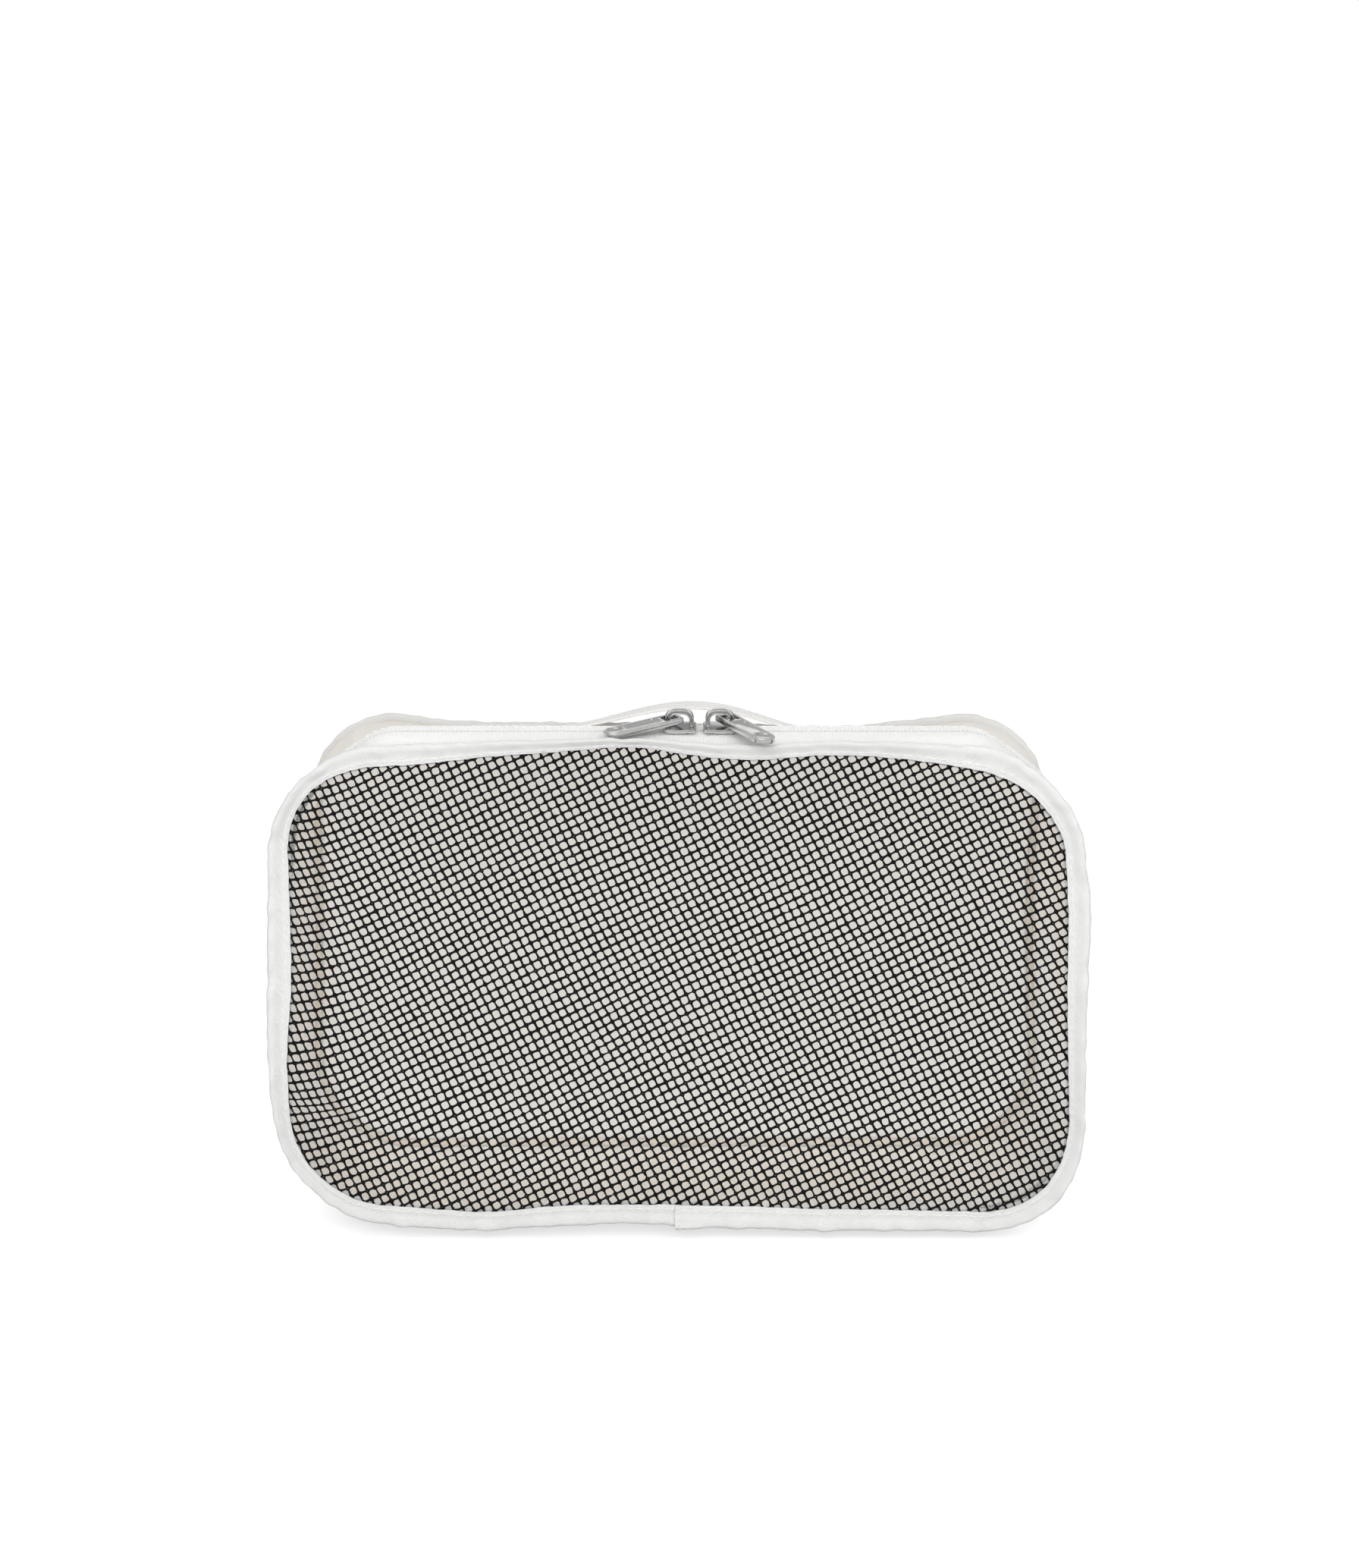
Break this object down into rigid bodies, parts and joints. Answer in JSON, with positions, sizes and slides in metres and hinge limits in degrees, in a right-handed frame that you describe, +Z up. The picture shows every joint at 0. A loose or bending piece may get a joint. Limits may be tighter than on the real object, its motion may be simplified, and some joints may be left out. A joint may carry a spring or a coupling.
{
  "type": "packing cube",
  "caption": "Soft packing cube: a pale cloth box with a black net door that a zip with sliding metal runners closes, and a carry strap on top of the back edge.",
  "frame": {"origin": "middle of the flat underside that the cube stands on", "axes": "+X to the right seen from the net, +Y from the net towards the back panel, +Z up"},
  "size_m": [0.29, 0.1018, 0.18],
  "materials": {
    "gusset_cloth": "thin coated cloth, off-white",
    "white_tape": "woven twill tape, white",
    "black_net": "knitted net, near-black",
    "zip_coil": "moulded coil, white",
    "cast_metal": "die-cast alloy with a satin silver plating"
  },
  "bodies": {
    "bag": {"back_panel": "gusset_cloth", "upper_gusset": "gusset_cloth", "bottom_gusset": "gusset_cloth", "back_binding": "white_tape", "rear_zip_tape": "white_tape", "rear_zip_coil": "zip_coil", "handle_end_left": "white_tape", "handle_end_right": "white_tape"},
    "lid": {"front_net": "black_net", "front_binding": "white_tape", "front_zip_tape": "white_tape", "front_zip_coil": "zip_coil"},
    "handle": {"handle_loop": "white_tape"},
    "left_slider": {"left_slider_body": "cast_metal", "left_slider_crown": "cast_metal"},
    "left_pull": {"left_pull": "cast_metal"},
    "right_slider": {"right_slider_body": "cast_metal", "right_slider_crown": "cast_metal"},
    "right_pull": {"right_pull": "cast_metal"}
  },
  "joints": [
    {"name": "lid_hinge", "type": "hinge", "parent": "bag", "child": "lid", "pos_m": [0, -0.046, 0.0065], "axis": [1, 0, 0], "range_deg": [0, 90]},
    {"name": "handle_sway", "type": "hinge", "parent": "bag", "child": "handle", "pos_m": [0.003, 0.04026, 0.17347], "axis": [1, 0, 0], "range_deg": [-30, 30]},
    {"name": "left_zip_slide", "type": "slide", "parent": "bag", "child": "left_slider", "axis": [-1, 0, 0], "range_m": [0, 0.09]},
    {"name": "right_zip_slide", "type": "slide", "parent": "bag", "child": "right_slider", "axis": [1, 0, 0], "range_m": [0, 0.08]},
    {"name": "left_pull_flip", "type": "hinge", "parent": "left_slider", "child": "left_pull", "pos_m": [0, -0.03352, 0.17563], "axis": [0, 0.969, 0.247], "range_deg": [0, 95]},
    {"name": "right_pull_flip", "type": "hinge", "parent": "right_slider", "child": "right_pull", "pos_m": [0.014, -0.03352, 0.17563], "axis": [0, -0.969, -0.247], "range_deg": [0, 95]}
  ]
}
